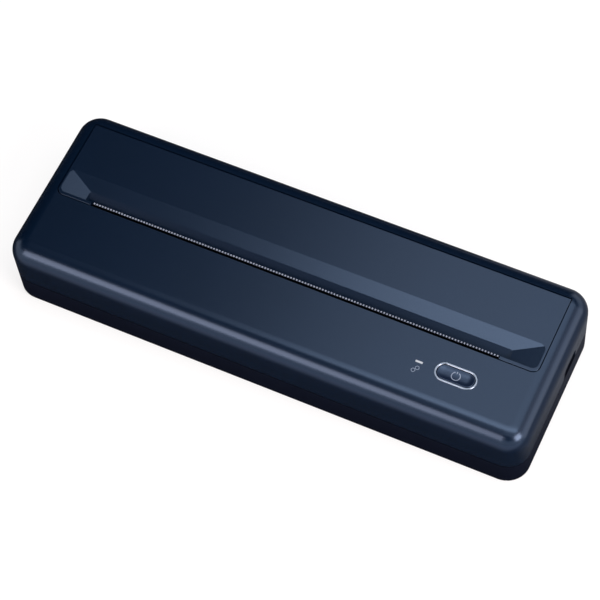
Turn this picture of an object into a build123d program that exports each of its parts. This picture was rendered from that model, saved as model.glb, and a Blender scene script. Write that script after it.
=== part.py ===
from build123d import *
import os
from math import acos, atan2, cos, degrees, hypot, pi, radians, sin, sqrt, tan

os.makedirs("parts", exist_ok=True)

# A portable thermal printer for A4 paper. X runs along the casing, Y from the front edge
# to the back, and Z up from the surface the rubber feet stand on. Everything is in mm.

# ---------------------------------------------------------------- driving dimensions
case_length = 270.0
case_depth = 91.0
case_height = 39.6  # both shells, without the feet
foot_stand = 0.8  # how far the feet stand out of the base
parting_height = 15.7  # height of the lower shell
wall = 2.0
plan_radius = 11.5  # corners seen from above
top_round = 9.6
bottom_round = 1.0
parting_chamfer = 0.35
tongue_height = 0.9
tongue_wall = 0.9

lid_side_gap = 0.4
lid_front_gap = 0.5
lid_rear_gap = 0.4
lid_plate = 2.2
lid_beam = 4.0  # thickness of the lid over its recess
lid_corner = 3.5
lid_top_round = 0.3
hinge_drop = 2.4  # hinge axis below the top, and in front of the lid's rear edge
swing_gap = 0.15  # room for the lid's rear edge as it swings
opening_front = -6.5  # front edge of the lid's opening
opening_side = 8.7  # from the end of the casing to the lid's opening
rear_land = 8.5  # from the back of the casing to the lid's opening
opening_rib = 2.0
opening_rib_depth = 5.4

recess_back = 9.2  # where the recess leaves the top
recess_crease = 1.7  # where its band meets the steep face
recess_depth = 1.8
recess_end = 1.0  # from the lid's end to the recess
recess_front_corner = 3.0
recess_back_corner = 3.2
facet_run = 14.0
rim_width = 1.6  # bar left standing in front of the end facets
nose_back = 4.9  # how far the steep face leans forward
nose_drop = 2.5
lid_rib = 1.4
skirt_depth = 5.0

slot_end = 24.0  # from the end of the casing to the paper slot
slot_corner = 1.5
tear_end_gap = 4.7  # from the end of the slot to the end of the tear bar
tear_gap = 1.6
tear_thickness = 0.8
tear_top_drop = 0.1
tear_foot = 6.6
tooth_pitch = 1.5
tooth_depth = 0.8

platen_radius = 5.5
platen_y = 3.0
platen_drop = 12.4  # platen axis below the top
shaft_radius = 2.0
roller_end_gap = 2.5
nip_gap = 0.3  # room for the paper between platen and print head
bush_radius = 3.5
bush_length = 3.2
bush_gap = 0.2
running_gap = 0.05
ear_thickness = 2.5
ear_radius = 4.5
hinge_pin_radius = 1.0
hinge_pin_length = 8.4

frame_sheet = 1.5
frame_floor = 1.2
frame_stand = 2.0  # frame floor above the floor of the lower shell
frame_front = -13.0
frame_back = 11.0
frame_top_drop = 7.4
web_height = 8.8
web_sheet = 1.2

gear_module = 0.6
platen_gear_size = 13.2  # pitch diameters
idler_size = 14.4
reduction_small_size = 9.6
reduction_large_size = 19.2
pinion_size = 7.2
tooth_thinning = 0.08
centre_gap = 0.1
gear_width = 3.6
post_radius = 1.5

motor_radius = 10.0
motor_length = 16.0
motor_shaft_radius = 1.0

heater_thickness = 1.0
heater_width = 9.0
sink_thickness = 3.0
sink_above = 2.5
sink_below = 16.5
pivot_radius = 1.2
pivot_below = 15.0

button_right = 42.8  # from the right end of the casing to the button's centre
button_y = -21.9
ring_length = 21.0
ring_width = 10.0
ring_wall = 1.0
button_gap = 0.2
cap_round = 1.5
switch_size = 6.2
plunger_radius = 1.75
button_travel = 0.4
light_right = 61.15
light_length = 3.5
light_width = 1.0

board_drop = 12.0  # top of the main board below the top
board_sheet = 1.6
battery_radius = 9.3
cell_length = 65.0
battery_y = -26.0
port_y = 14.4
port_length = 14.0
port_height = 8.0  # from the parting line
port_corner = 2.6
port_plate = 2.0
socket_length = 8.94
socket_height = 3.26
socket_wall = 0.3
socket_depth = 7.35
socket_fit = 0.13

tray_wall = 1.2
tray_gap = 0.8
screw_radius = 1.25
head_radius = 2.4
head_height = 1.6
head_seat = 9.0  # depth of the screw heads' wells
boss_radius = 3.2
small_screw_radius = 0.9
small_head_radius = 1.7
small_head_height = 0.9
small_post_radius = 2.4
frame_screw_radius = 1.0
frame_post_radius = 3.0
screw_clearance = 0.15
foot_length = 18.0
foot_width = 7.0
foot_clearance = 0.2
switch_width = 4.0  # lid switch
part_gap = 0.3

# ---------------------------------------------------------------- shared positions
base_z = foot_stand
parting_z = base_z + parting_height
top_z = base_z + case_height
floor_z = base_z + wall
roof_z = top_z - wall
half_length = case_length / 2
half_depth = case_depth / 2
inner_rear = half_depth - wall

lid_half = half_length - opening_side - lid_side_gap
lid_front = opening_front + lid_front_gap
lid_rear = half_depth - rear_land - lid_rear_gap
hinge_y = lid_rear - hinge_drop
hinge_z = top_z - hinge_drop
slot_half = half_length - slot_end
rim_back = lid_front + rim_width
crease_z = top_z - recess_depth
nose_y = recess_crease - nose_back
nose_z = crease_z - nose_drop

platen_z = top_z - platen_drop
swing_radius = hypot(hinge_y - platen_y, hinge_z - platen_z)
# Unit vectors in the YZ plane: away from the hinge through the platen, and up the print head.
away_y = (platen_y - hinge_y) / swing_radius
away_z = (platen_z - hinge_z) / swing_radius
up_y, up_z = away_z, -away_y
heater_y = platen_y + (platen_radius + nip_gap) * away_y
heater_z = platen_z + (platen_radius + nip_gap) * away_z


def head_point(up, back):
    """A point of the print head: up its face from the heater line, and back from the face."""
    return (heater_y + up * up_y + back * away_y, heater_z + up * up_z + back * away_z)


frame_outer = slot_half + 0.5  # outer face of the side plates
frame_inner = frame_outer - frame_sheet
frame_base_z = floor_z + frame_stand
frame_floor_z = frame_base_z + frame_floor
frame_top_z = top_z - frame_top_drop
roller_half = frame_inner - roller_end_gap
ear_inner = frame_outer + 1.0
ear_outer = ear_inner + ear_thickness

board_z = top_z - board_drop
button_x = half_length - button_right
light_x = half_length - light_right
port_z = parting_z + port_height / 2

tray_front = frame_back - 2.4
tray_outer = (inner_rear - tray_gap - tray_front) / 2
tray_inner = tray_outer - tray_wall
tray_y = tray_front + tray_outer
tray_z = floor_z + tray_outer
tray_half = frame_inner - 2.0

corner_screw_x = half_length - 6.6
corner_screw_y = half_depth - 7.1
screw_spots = [(x, y) for x in (-corner_screw_x, corner_screw_x)
               for y in (-corner_screw_y, corner_screw_y)]
screw_spots += [(-40.0, 5.8 - half_depth), (40.0, 5.8 - half_depth)]
foot_spots = [(x, y) for x in (27.0 - half_length, half_length - 27.0)
              for y in (12.5 - half_depth, half_depth - 12.5)]
frame_spots = [(x, y) for x in (6.0 - frame_inner, frame_inner - 6.0) for y in (-7.0, 7.0)]
facing_down = (0, 0, -1)


# ---------------------------------------------------------------- casing
def outline(inset):
    """The casing's plan, drawn in by an inset."""
    return RectangleRounded(case_length - 2 * inset, case_depth - 2 * inset, plan_radius - inset)


def outline_hole(inset):
    """The same plan, taken away from a larger one."""
    return RectangleRounded(case_length - 2 * inset, case_depth - 2 * inset,
                            plan_radius - inset, mode=Mode.SUBTRACT)


# Lower shell: a tray with a tongue that enters the upper shell, screw towers, stands for
# the frame and the socket board, and ribs that cradle the battery.
board_left = 57.0 - half_length
board_right = half_length - 21.0
socket_board_z = port_z - socket_height / 2
socket_posts = [(half_length - 16.5, port_y - 6.0), (half_length - 16.5, port_y + 6.0)]
battery_x = motor_length - 28.0
battery_z = floor_z + 0.8 + battery_radius
with BuildPart() as lower_shell:
    with BuildSketch(Plane.XY.offset(base_z)):
        outline(0)
    extrude(amount=parting_height)
    fillet(lower_shell.faces().sort_by(Axis.Z)[0].edges(), bottom_round)
    chamfer(lower_shell.faces().sort_by(Axis.Z)[-1].edges(), parting_chamfer)
    with BuildSketch(Plane.XY.offset(floor_z)):
        outline(wall)
    extrude(amount=parting_height, mode=Mode.SUBTRACT)
    with BuildSketch(Plane.XY.offset(parting_z - 1.0)):
        outline(wall - tongue_wall)
        outline_hole(wall)
    extrude(amount=1.0 + tongue_height)
    with BuildSketch(Plane.XY.offset(floor_z - 0.5)):
        with Locations(*screw_spots):
            Circle(boss_radius)
    extrude(amount=parting_z - floor_z + 0.5)
    with BuildSketch(Plane.XY.offset(floor_z - 0.5)):
        with Locations(*frame_spots):
            Circle(frame_post_radius)
    extrude(amount=frame_stand + 0.5)
    with BuildSketch(Plane.XY.offset(floor_z - 0.5)):
        with Locations(*socket_posts):
            Circle(small_post_radius)
    extrude(amount=socket_board_z - board_sheet - floor_z + 0.5)
    with BuildSketch(Plane.XY.offset(floor_z - 0.5)):
        for side in (-1, 1):
            with Locations((battery_x, battery_y + side * (battery_radius + 0.05))):
                Rectangle(1.8 * cell_length, 1.4)
    extrude(amount=6.5)
    with BuildSketch(Plane.YZ.offset(battery_x)):
        with Locations((battery_y, battery_z)):
            Circle(battery_radius + 0.15)
    extrude(amount=cell_length, both=True, mode=Mode.SUBTRACT)
    with Locations(*[Plane((x, y, base_z), z_dir=facing_down) for x, y in screw_spots]):
        CounterBoreHole(screw_radius + screw_clearance, head_radius + 2 * screw_clearance,
                        head_seat)
    with BuildSketch(Plane.XY.offset(frame_base_z)):
        with Locations(*frame_spots):
            Circle(frame_screw_radius)
    extrude(amount=-frame_stand - 1.0, mode=Mode.SUBTRACT)
    with BuildSketch(Plane.XY.offset(base_z)):
        with Locations(*foot_spots):
            SlotOverall(foot_length + 2 * foot_clearance, foot_width + 2 * foot_clearance)
    extrude(amount=foot_stand, mode=Mode.SUBTRACT)
lower_shell.part.label = "lower_shell"
export_step(lower_shell.part, "parts/lower_shell.step")

# Rubber feet: four long pads glued into shallow pockets of the base.
with BuildPart() as rubber_feet:
    with BuildSketch():
        with Locations(*foot_spots):
            SlotOverall(foot_length, foot_width)
    extrude(amount=base_z + foot_stand)
    chamfer(rubber_feet.faces().filter_by(Axis.Z).group_by(Axis.Z)[0].edges(), 0.4)
rubber_feet.part.label = "rubber_feet"
export_step(rubber_feet.part, "parts/rubber_feet.step")

# Hollow of the upper shell, kept as its own solid so that the shell can be cut by it.
with BuildPart() as hollow:
    with BuildSketch(Plane.XY.offset(parting_z - 1.0)):
        outline(wall)
    extrude(amount=roof_z - parting_z + 1.0)
    fillet(hollow.faces().sort_by(Axis.Z)[-1].edges(), top_round - wall)

# Upper shell: the rolled hood with the lid's opening and its stiffening rib, towers for
# the case screws and for the main board, and the windows of button, light and socket.
opening_rear = lid_rear + lid_rear_gap
opening_half = lid_half + lid_side_gap
opening_mid = (opening_front + opening_rear) / 2
opening_long = opening_rear - opening_front
board_front = 9.5 - half_depth
board_back = -14.5
board_posts = [(x, y) for x in (board_left + 6.0, board_right - 6.0)
               for y in (board_front + 3.6, board_back - 3.6)]
tear_half = slot_half - tear_end_gap
tear_posts = [(x, opening_front - 2.3) for x in (-0.9 * tear_half, -0.45 * tear_half, 0,
                                                 0.45 * tear_half, 0.9 * tear_half)]
with BuildPart() as upper_shell:
    with BuildSketch(Plane.XY.offset(parting_z)):
        outline(0)
    extrude(amount=top_z - parting_z)
    fillet(upper_shell.faces().sort_by(Axis.Z)[-1].edges(), top_round)
    chamfer(upper_shell.faces().sort_by(Axis.Z)[0].edges(), parting_chamfer)
    add(hollow.part, mode=Mode.SUBTRACT)
    # the rib round the opening, the opening itself, and the undercut behind its rear edge
    # that the lid's square edge swings through
    with BuildSketch(Plane.XY.offset(roof_z - opening_rib_depth + wall)):
        with Locations((0, opening_mid)):
            Rectangle(2 * (opening_half + opening_rib), opening_long + 2 * opening_rib)
    extrude(amount=opening_rib_depth - wall + 0.6)
    with BuildSketch(Plane.XY.offset(roof_z - opening_rib_depth)) as opening_plan:
        with Locations((0, opening_mid)):
            Rectangle(2 * opening_half, opening_long)
        fillet(opening_plan.vertices().group_by(Axis.Y)[0], lid_corner + lid_front_gap)
    extrude(amount=opening_rib_depth + 2 * wall, mode=Mode.SUBTRACT)
    with BuildSketch(Plane.YZ):
        with Locations((hinge_y, hinge_z)):
            Circle(sqrt(2) * hinge_drop + swing_gap)
    extrude(amount=opening_half, both=True, mode=Mode.SUBTRACT)
    # towers that meet those of the lower shell and join the rolled edge above; the rear
    # pair stops below the lid
    with BuildSketch(Plane.XY.offset(parting_z)):
        with Locations(*[spot for spot in screw_spots if spot[1] < 0]):
            Circle(boss_radius)
    extrude(amount=roof_z - parting_z - 3.0)
    with BuildSketch(Plane.XY.offset(parting_z)):
        with Locations(*[spot for spot in screw_spots if spot[1] > 0]):
            Circle(boss_radius)
    extrude(amount=roof_z - parting_z - 8.0)
    with BuildSketch(Plane.XY.offset(board_z)):
        with Locations(*board_posts):
            Circle(small_post_radius)
    extrude(amount=roof_z - board_z + 0.2)
    with BuildSketch(Plane.XY.offset(roof_z - opening_rib_depth + wall)):
        with Locations(*tear_posts):
            Circle(2.2)
    extrude(amount=opening_rib_depth - wall + 0.2)
    # rebate for the tongue of the lower shell
    with BuildSketch(Plane.XY.offset(parting_z)):
        outline(wall - tongue_wall - 0.1)
        outline_hole(wall + 1.0)
    extrude(amount=tongue_height + 0.2, mode=Mode.SUBTRACT)
    # screw holes, all from below
    with BuildSketch(Plane.XY.offset(parting_z)):
        with Locations(*screw_spots):
            Circle(screw_radius)
    extrude(amount=9.0, mode=Mode.SUBTRACT)
    with BuildSketch(Plane.XY.offset(board_z)):
        with Locations(*board_posts):
            Circle(small_screw_radius)
    extrude(amount=5.0, mode=Mode.SUBTRACT)
    with BuildSketch(Plane.XY.offset(roof_z - opening_rib_depth + wall)):
        with Locations(*tear_posts):
            Circle(small_screw_radius)
    extrude(amount=3.4, mode=Mode.SUBTRACT)
    # windows in the roof for the button ring and the status light
    with BuildSketch(Plane.XY.offset(roof_z - 1.0)):
        with Locations((button_x, button_y)):
            SlotOverall(ring_length, ring_width)
        with Locations((light_x, button_y)):
            Rectangle(light_length, light_width)
    extrude(amount=wall + 2.0, mode=Mode.SUBTRACT)
    # hinge holes in the end ribs
    for side in (-1, 1):
        with BuildSketch(Plane.YZ.offset(side * opening_half)):
            with Locations((hinge_y, hinge_z)):
                Circle(hinge_pin_radius + running_gap)
        extrude(amount=side * opening_rib, mode=Mode.SUBTRACT)
    # socket window, open down to the parting line, with a plate behind it that is pierced
    # for the socket
    with BuildSketch(Plane.YZ.offset(half_length - wall - port_plate + 0.2)):
        with Locations((port_y, parting_z + tongue_height + 0.1)):
            Rectangle(port_length + 4.0, port_height, align=(Align.CENTER, Align.MIN))
    extrude(amount=port_plate)
    with BuildSketch(Plane.YZ.offset(half_length - wall)) as port_plan:
        with Locations((port_y, parting_z)):
            Rectangle(port_length, port_height, align=(Align.CENTER, Align.MIN))
        fillet(port_plan.vertices().group_by(Axis.Y)[-1], port_corner)
    extrude(amount=2 * wall, mode=Mode.SUBTRACT)
    with BuildSketch(Plane.YZ.offset(half_length - 3 * wall)):
        with Locations((port_y, port_z)):
            SlotOverall(socket_length + 2 * socket_fit, socket_height + 2 * socket_fit)
    extrude(amount=3 * wall, mode=Mode.SUBTRACT)
upper_shell.part.label = "upper_shell"
export_step(upper_shell.part, "parts/upper_shell.step")

# Case screws: pan heads deep in the wells of the base, threads in the upper towers.
with BuildPart() as case_screws:
    with BuildSketch(Plane.XY.offset(base_z + head_seat - head_height)):
        with Locations(*screw_spots):
            Circle(head_radius)
    extrude(amount=head_height)
    with BuildSketch(Plane.XY.offset(base_z + head_seat)):
        with Locations(*screw_spots):
            Circle(screw_radius)
    extrude(amount=parting_z + 8.0 - base_z - head_seat)
case_screws.part.label = "case_screws"
export_step(case_screws.part, "parts/case_screws.step")

# ---------------------------------------------------------------- lid
# Recess: the wedge of air above the sloping band and the two end facets. Its two prisms
# meet in the mitres at the ends of the band.
deep = 3.0
band_slope = recess_depth / (recess_back - recess_crease)
facet_slope = recess_depth / facet_run
recess_half = lid_half - recess_end
with BuildPart() as recess:
    with BuildSketch(Plane.YZ):
        with BuildLine():
            Polyline((recess_back, top_z), (rim_back, top_z - band_slope * (recess_back - rim_back)),
                     (rim_back, top_z + 1.0), (recess_back, top_z + 1.0), close=True)
        make_face()
    extrude(amount=recess_half, both=True)
    with BuildSketch(Plane.XZ):
        with BuildLine():
            Polyline((recess_half, top_z), (recess_half - deep / facet_slope, top_z - deep),
                     (deep / facet_slope - recess_half, top_z - deep), (-recess_half, top_z),
                     (-recess_half, top_z + 1.0), (recess_half, top_z + 1.0), close=True)
        make_face()
    extrude(amount=half_depth, both=True, mode=Mode.INTERSECT)
    with BuildSketch(Plane.XY.offset(top_z - deep)) as recess_plan:
        with Locations((0, (rim_back + recess_back) / 2)):
            Rectangle(2 * recess_half, recess_back - rim_back)
        fillet(recess_plan.vertices().group_by(Axis.Y)[0], recess_front_corner)
        fillet(recess_plan.vertices().group_by(Axis.Y)[-1], recess_back_corner)
    extrude(amount=deep + 1.0, mode=Mode.INTERSECT)

# Paper slot: the air in front of the steep face, with rounded corners behind.
slot_foot_z = nose_z - 1.0
with BuildPart() as paper_slot:
    with BuildSketch(Plane.YZ):
        with BuildLine():
            Polyline((recess_crease, crease_z), (nose_y, nose_z), (nose_y - 0.5, slot_foot_z),
                     (rim_back, slot_foot_z), (rim_back, top_z + 1.0),
                     (recess_crease, top_z + 1.0), close=True)
        make_face()
    extrude(amount=slot_half, both=True)
    with BuildSketch(Plane.XY.offset(slot_foot_z)) as slot_plan:
        with Locations((0, (rim_back + recess_crease) / 2)):
            Rectangle(2 * slot_half, recess_crease - rim_back)
        fillet(slot_plan.vertices().group_by(Axis.Y)[-1], slot_corner)
    extrude(amount=top_z + 1.0 - slot_foot_z, mode=Mode.INTERSECT)

# Lid: a plate with softened edges, a thicker beam in front with the recess and the paper
# slot, side skirts, and two ears that carry the platen.
ear_centre = (ear_inner + ear_outer) / 2
beam_back = recess_back + 2.0
with BuildPart() as lid:
    with BuildSketch(Plane.XY.offset(top_z - lid_plate)):
        with Locations((0, (lid_front + lid_rear) / 2)):
            Rectangle(2 * lid_half, lid_rear - lid_front)
    extrude(amount=lid_plate)
    with BuildSketch(Plane.XY.offset(top_z - lid_beam)):
        with Locations((0, (lid_front + beam_back) / 2)):
            Rectangle(2 * lid_half, beam_back - lid_front)
    extrude(amount=lid_beam)
    fillet(lid.edges().filter_by(Axis.Z).group_by(Axis.Y)[0], lid_corner)
    fillet(lid.faces().sort_by(Axis.Z)[-1].edges(), lid_top_round)
    # side skirts and front rims
    with BuildSketch(Plane.XY.offset(top_z - skirt_depth)):
        for side in (-1, 1):
            with Locations((side * (lid_half - wall / 2), hinge_y)):
                Rectangle(wall, hinge_y - lid_front - lid_corner,
                          align=(Align.CENTER, Align.MAX))
    extrude(amount=skirt_depth - lid_plate + 0.5)
    with BuildSketch(Plane.YZ):
        with BuildLine():
            Polyline((recess_crease, crease_z), (nose_y, nose_z), (nose_y + 2.4, nose_z),
                     (recess_crease + 3.4, top_z - lid_beam), (recess_crease + 3.4, crease_z),
                     close=True)
        make_face()
    extrude(amount=slot_half + 1.0, both=True)
    add(recess.part, mode=Mode.SUBTRACT)
    # paper slot, and the notch that takes the tear bar
    add(paper_slot.part, mode=Mode.SUBTRACT)
    with BuildSketch(Plane.XY.offset(slot_foot_z)):
        with Locations((0, rim_back + 0.1)):
            Rectangle(2 * (tear_half + 0.6), 3 * rim_width, align=(Align.CENTER, Align.MAX))
    extrude(amount=2 * lid_beam + 2.0, mode=Mode.SUBTRACT)
    # hinge bosses, ears and ribs
    for side in (-1, 1):
        with BuildSketch(Plane.YZ.offset(side * (lid_half - hinge_pin_length + 1.0))):
            with Locations((hinge_y, hinge_z)):
                Circle(hinge_drop)
        extrude(amount=side * (hinge_pin_length - 1.0))
        with BuildSketch(Plane.YZ.offset(side * ear_centre)):
            with Locations((platen_y, platen_z)):
                Circle(ear_radius)
                Rectangle(2 * ear_radius, platen_drop - lid_plate,
                          align=(Align.CENTER, Align.MIN))
        extrude(amount=ear_thickness / 2, both=True)
        with BuildSketch(Plane.YZ.offset(side * ear_centre)):
            with Locations((platen_y, platen_z)):
                Circle(shaft_radius + running_gap)
        extrude(amount=ear_thickness, both=True, mode=Mode.SUBTRACT)
        with BuildSketch(Plane.YZ.offset(side * lid_half)):
            with Locations((hinge_y, hinge_z)):
                Circle(hinge_pin_radius)
        extrude(amount=side * (2.0 - hinge_pin_length), mode=Mode.SUBTRACT)
    with BuildSketch(Plane.XY.offset(top_z - lid_beam)):
        with Locations((0, (beam_back + hinge_y) / 2)):
            with GridLocations(0.32 * lid_half, 1, 5, 1):
                Rectangle(lid_rib, hinge_y - beam_back)
    extrude(amount=lid_beam - lid_plate + 0.2)
lid.part.label = "lid"
export_step(lid.part, "parts/lid.step")

# Hinge pins: two short steel pins pressed into the lid, turning in the shell's end ribs.
with BuildPart() as hinge_pins:
    for side in (-1, 1):
        with BuildSketch(Plane.YZ.offset(side * (lid_half - hinge_pin_length + 2.0))):
            with Locations((hinge_y, hinge_z)):
                Circle(hinge_pin_radius)
        extrude(amount=side * hinge_pin_length)
hinge_pins.part.label = "hinge_pins"
export_step(hinge_pins.part, "parts/hinge_pins.step")

# ---------------------------------------------------------------- tear bar
# A steel strip on edge, its top cut into teeth, with a foot that the screws hold up
# against the rib of the upper shell.
tear_front = opening_front + tear_gap
tear_back = tear_front + tear_thickness
tear_top = top_z - tear_top_drop
tear_foot_z = roof_z - opening_rib_depth + wall - tear_thickness
tooth_count = int(2 * tear_half / tooth_pitch)
tooth_step = 2 * tear_half / tooth_count
with BuildPart() as tear_bar:
    with BuildSketch(Plane.XZ.offset(-tear_back)):
        with BuildLine():
            teeth = [(-tear_half, tear_foot_z), (-tear_half, tear_top - tooth_depth)]
            for tooth in range(tooth_count):
                left = -tear_half + tooth * tooth_step
                teeth.append((left + tooth_step / 2, tear_top))
                teeth.append((left + tooth_step, tear_top - tooth_depth))
            teeth.append((tear_half, tear_foot_z))
            Polyline(*teeth, close=True)
        make_face()
    extrude(amount=tear_thickness)
    with BuildSketch(Plane.XY.offset(tear_foot_z)):
        with Locations((0, tear_back)):
            Rectangle(2 * tear_half, tear_foot, align=(Align.CENTER, Align.MAX))
        with Locations(*tear_posts):
            Circle(small_screw_radius + screw_clearance, mode=Mode.SUBTRACT)
    extrude(amount=tear_thickness)
tear_bar.part.label = "tear_bar"
export_step(tear_bar.part, "parts/tear_bar.step")

with BuildPart() as tear_bar_screws:
    with BuildSketch(Plane.XY.offset(tear_foot_z - small_head_height)):
        with Locations(*tear_posts):
            Circle(small_head_radius)
    extrude(amount=small_head_height)
    with BuildSketch(Plane.XY.offset(tear_foot_z)):
        with Locations(*tear_posts):
            Circle(small_screw_radius)
    extrude(amount=4.0)
tear_bar_screws.part.label = "tear_bar_screws"
export_step(tear_bar_screws.part, "parts/tear_bar_screws.step")

# ---------------------------------------------------------------- button and light
# Power button: a stadium cap with a pillowed top. Its flange is caught under the roof and
# its stem stands on the plunger of the switch.
cap_length = ring_length - 2 * ring_wall - 2 * button_gap
cap_width = ring_width - 2 * ring_wall - 2 * button_gap
flange_z = roof_z - 0.3 - 1.0
plunger_top = board_z + 5.6
cap_top = top_z - 0.05
with BuildPart() as power_button:
    with BuildSketch(Plane.XY.offset(flange_z)):
        with Locations((button_x, button_y)):
            SlotOverall(cap_length, cap_width)
    extrude(amount=cap_top - flange_z)
    fillet(power_button.faces().sort_by(Axis.Z)[-1].edges(), cap_round)
    with BuildSketch(Plane.XY.offset(flange_z)):
        with Locations((button_x, button_y)):
            SlotOverall(ring_length + 1.0, ring_width + 1.0)
    extrude(amount=1.0)
    with BuildSketch(Plane.XY.offset(plunger_top)):
        with Locations((button_x, button_y)):
            Circle(1.6)
    extrude(amount=flange_z - plunger_top)
power_button.part.label = "power_button"
export_step(power_button.part, "parts/power_button.step")

# Button ring: a bright ring pressed into the roof round the button.
with BuildPart() as button_ring:
    with BuildSketch(Plane.XY.offset(roof_z)):
        with Locations((button_x, button_y)):
            SlotOverall(ring_length, ring_width)
            SlotOverall(ring_length - 2 * ring_wall, ring_width - 2 * ring_wall,
                        mode=Mode.SUBTRACT)
    extrude(amount=wall + 0.15)
    chamfer(button_ring.faces().sort_by(Axis.Z)[-1].edges(), 0.25)
button_ring.part.label = "button_ring"
export_step(button_ring.part, "parts/button_ring.step")

# Power switch: a small push switch on the board, with a round plunger.
plunger_foot = plunger_top - 3.0
with BuildPart() as power_switch:
    with BuildSketch(Plane.XY.offset(board_z)):
        with Locations((button_x, button_y)):
            RectangleRounded(switch_size, switch_size, 0.4)
    extrude(amount=3.6)
    with BuildSketch(Plane.XY.offset(plunger_foot - button_travel - 0.2)):
        with Locations((button_x, button_y)):
            Circle(plunger_radius + running_gap)
    extrude(amount=4.0, mode=Mode.SUBTRACT)
power_switch.part.label = "power_switch"
export_step(power_switch.part, "parts/power_switch.step")

with BuildPart() as switch_plunger:
    with BuildSketch(Plane.XY.offset(plunger_foot)):
        with Locations((button_x, button_y)):
            Circle(plunger_radius)
    extrude(amount=plunger_top - plunger_foot)
switch_plunger.part.label = "switch_plunger"
export_step(switch_plunger.part, "parts/switch_plunger.step")

# Status light: a clear bar that carries the light of a small lamp on the board.
with BuildPart() as light_pipe:
    with BuildSketch(Plane.XY.offset(board_z + 1.2)):
        with Locations((light_x, button_y)):
            Rectangle(light_length, light_width)
    extrude(amount=top_z + 0.05 - board_z - 1.2)
    with BuildSketch(Plane.XY.offset(roof_z - 1.2)):
        with Locations((light_x, button_y)):
            Rectangle(light_length + 1.6, light_width + 1.6)
    extrude(amount=1.2)
light_pipe.part.label = "light_pipe"
export_step(light_pipe.part, "parts/light_pipe.step")

with BuildPart() as status_lamp:
    with BuildSketch(Plane.XY.offset(board_z)):
        with Locations((light_x, button_y)):
            Rectangle(1.6, 0.8)
    extrude(amount=0.9)
status_lamp.part.label = "status_lamp"
export_step(status_lamp.part, "parts/status_lamp.step")

# ---------------------------------------------------------------- electronics
with BuildPart() as main_board:
    with BuildSketch(Plane.XY.offset(board_z - board_sheet)):
        with Locations(((board_left + board_right) / 2, (board_front + board_back) / 2)):
            RectangleRounded(board_right - board_left, board_back - board_front, 1.5)
        with Locations(*board_posts):
            Circle(small_screw_radius + screw_clearance, mode=Mode.SUBTRACT)
    extrude(amount=board_sheet)
main_board.part.label = "main_board"
export_step(main_board.part, "parts/main_board.step")

with BuildPart() as board_screws:
    with BuildSketch(Plane.XY.offset(board_z - board_sheet - 1.0)):
        with Locations(*board_posts):
            Circle(small_head_radius)
    extrude(amount=1.0)
    with BuildSketch(Plane.XY.offset(board_z - board_sheet)):
        with Locations(*board_posts):
            Circle(small_screw_radius)
    extrude(amount=board_sheet + 4.0)
board_screws.part.label = "board_screws"
export_step(board_screws.part, "parts/board_screws.step")

# Processor and radio module, soldered to the top of the board.
with BuildPart() as processor_chip:
    with BuildSketch(Plane.XY.offset(board_z)):
        with Locations((0, (board_front + board_back) / 2)):
            Rectangle(12.0, 12.0)
    extrude(amount=1.4)
    chamfer(processor_chip.faces().sort_by(Axis.Z)[-1].edges(), 0.2)
processor_chip.part.label = "processor_chip"
export_step(processor_chip.part, "parts/processor_chip.step")

with BuildPart() as radio_module:
    with BuildSketch(Plane.XY.offset(board_z)):
        with Locations((board_left + 24.0, (board_front + board_back) / 2)):
            Rectangle(18.0, 13.0)
    extrude(amount=0.8)
    with BuildSketch(Plane.XY.offset(board_z + 0.8)):
        with Locations((board_left + 27.0, (board_front + board_back) / 2)):
            RectangleRounded(11.0, 11.6, 0.5)
    extrude(amount=1.8)
radio_module.part.label = "radio_module"
export_step(radio_module.part, "parts/radio_module.step")

# Battery: two round cells end to end in one shrink sleeve.
with BuildPart() as battery_pack:
    for side in (-1, 1):
        with BuildSketch(Plane.YZ.offset(battery_x + side * 0.8)):
            with Locations((battery_y, battery_z)):
                Circle(battery_radius)
        extrude(amount=side * cell_length)
    chamfer(battery_pack.edges().filter_by(GeomType.CIRCLE), 0.8)
    with BuildSketch(Plane.YZ.offset(battery_x)):
        with Locations((battery_y, battery_z)):
            Circle(battery_radius - 0.6)
    extrude(amount=2.0, both=True)
battery_pack.part.label = "battery_pack"
export_step(battery_pack.part, "parts/battery_pack.step")

# Charging socket: a flattened metal tube with a tongue inside, on its own small board.
socket_mouth = half_length - wall - 0.1
with BuildPart() as usb_socket:
    with BuildSketch(Plane.YZ.offset(socket_mouth)):
        with Locations((port_y, port_z)):
            SlotOverall(socket_length, socket_height)
    extrude(amount=-socket_depth)
    with BuildSketch(Plane.YZ.offset(socket_mouth)):
        with Locations((port_y, port_z)):
            SlotOverall(socket_length - 2 * socket_wall, socket_height - 2 * socket_wall)
            Rectangle(6.7, 0.7, mode=Mode.SUBTRACT)
    extrude(amount=1.2 - socket_depth, mode=Mode.SUBTRACT)
usb_socket.part.label = "usb_socket"
export_step(usb_socket.part, "parts/usb_socket.step")

socket_board_left = frame_outer + switch_width + part_gap
with BuildPart() as socket_board:
    with BuildSketch(Plane.XY.offset(socket_board_z - board_sheet)):
        with Locations((socket_board_left, port_y)):
            Rectangle(half_length - wall - port_plate - socket_board_left, 17.0,
                      align=(Align.MIN, Align.CENTER))
        with Locations(*socket_posts):
            Circle(small_screw_radius + screw_clearance, mode=Mode.SUBTRACT)
    extrude(amount=board_sheet)
socket_board.part.label = "socket_board"
export_step(socket_board.part, "parts/socket_board.step")

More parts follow.
